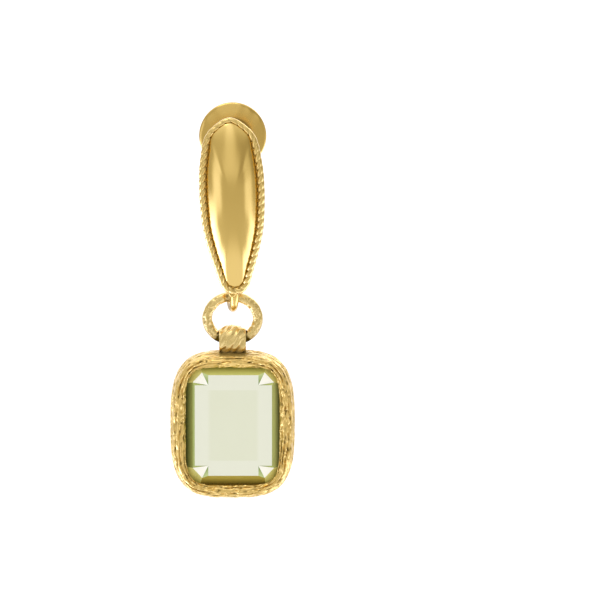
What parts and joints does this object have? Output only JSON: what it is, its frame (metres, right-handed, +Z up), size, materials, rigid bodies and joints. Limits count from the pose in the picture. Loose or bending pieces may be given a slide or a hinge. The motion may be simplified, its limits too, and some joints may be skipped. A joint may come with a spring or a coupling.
{
  "type": "drop earring",
  "caption": "Drop earring: teardrop head with a rope border and hinged post clasp, an oval ring, and a pale green faceted stone in a bark-textured gold frame.",
  "frame": {"origin": "on the post's axis, where the ear lobe sits between the head's back plate and the clasp's eye", "axes": "+Y along the post to its tip and the clasp, -Y the earring's front, +Z up, +X to the right seen from the front"},
  "size_m": [0.011, 0.0119, 0.0348],
  "materials": {
    "head_gold": "polished gold",
    "clasp_gold": "polished gold with wear",
    "ring_gold": "hammered gold",
    "setting_gold": "bark-textured gold",
    "stone": "polished pale green facets"
  },
  "bodies": {
    "head": {"head": "head_gold"},
    "lever": {"clasp_lever": "clasp_gold", "clasp_eye": "clasp_gold", "hinge_pin": "clasp_gold"},
    "ring": {"ring": "ring_gold"},
    "drop": {"setting": "setting_gold", "stone": "stone"}
  },
  "joints": [
    {"name": "lever_hinge", "type": "hinge", "parent": "head", "child": "lever", "pos_m": [0, 0.00251, -0.00844], "axis": [-1, 0, 0], "range_deg": [0, 60]},
    {"name": "ring_swing", "type": "hinge", "parent": "head", "child": "ring", "pos_m": [0, -0.00082, -0.01275], "axis": [1, 0, 0], "range_deg": [-50, 50]},
    {"name": "drop_swing", "type": "hinge", "parent": "ring", "child": "drop", "pos_m": [0, -0.00082, -0.01663], "axis": [1, 0, 0], "range_deg": [-35, 35]}
  ]
}
